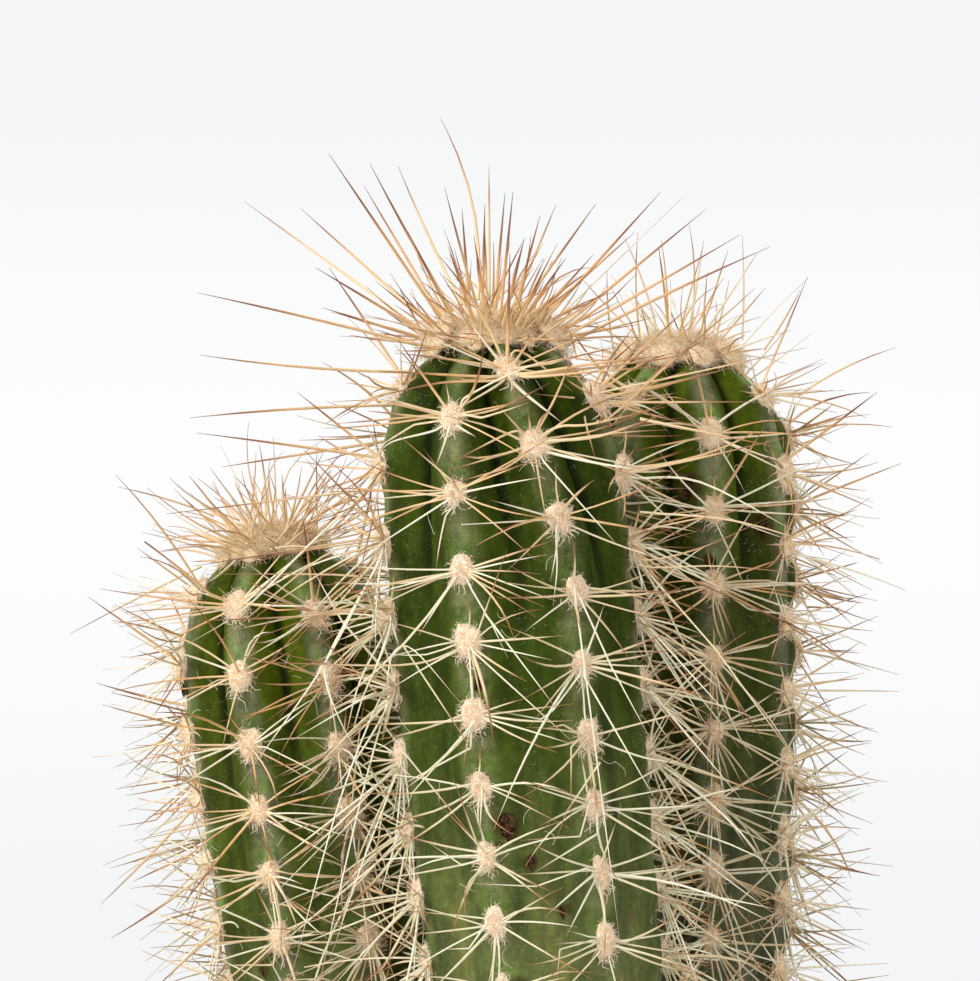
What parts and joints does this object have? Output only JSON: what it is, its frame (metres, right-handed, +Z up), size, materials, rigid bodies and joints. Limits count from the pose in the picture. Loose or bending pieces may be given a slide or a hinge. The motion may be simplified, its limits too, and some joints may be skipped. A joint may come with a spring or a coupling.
{
  "type": "potted tall cactus",
  "caption": "Clump of tall ribbed cactus stems with woolly areoles and long sharp spines, standing in gritty soil in a plain tapered clay pot",
  "frame": {"origin": "middle of the pot's underside, on the surface that the pot stands on", "axes": "+Z up along the pot's axis; +X to the right and -Y toward the viewer, as in the picture"},
  "size_m": [0.132, 0.132, 0.2756],
  "materials": {
    "clay": "unglazed fired clay, matt, slightly chalky",
    "soil": "loose gritty potting soil",
    "flesh": "living green skin with a thin waxy bloom",
    "wool": "short cream wool with amber to red-brown spines"
  },
  "bodies": {
    "root": {"pot": "clay", "soil": "soil", "main_stem": "flesh", "main_crown": "wool", "left_stem": "flesh", "left_crown": "wool", "right_stem": "flesh", "right_crown": "wool"}
  },
  "joints": []
}
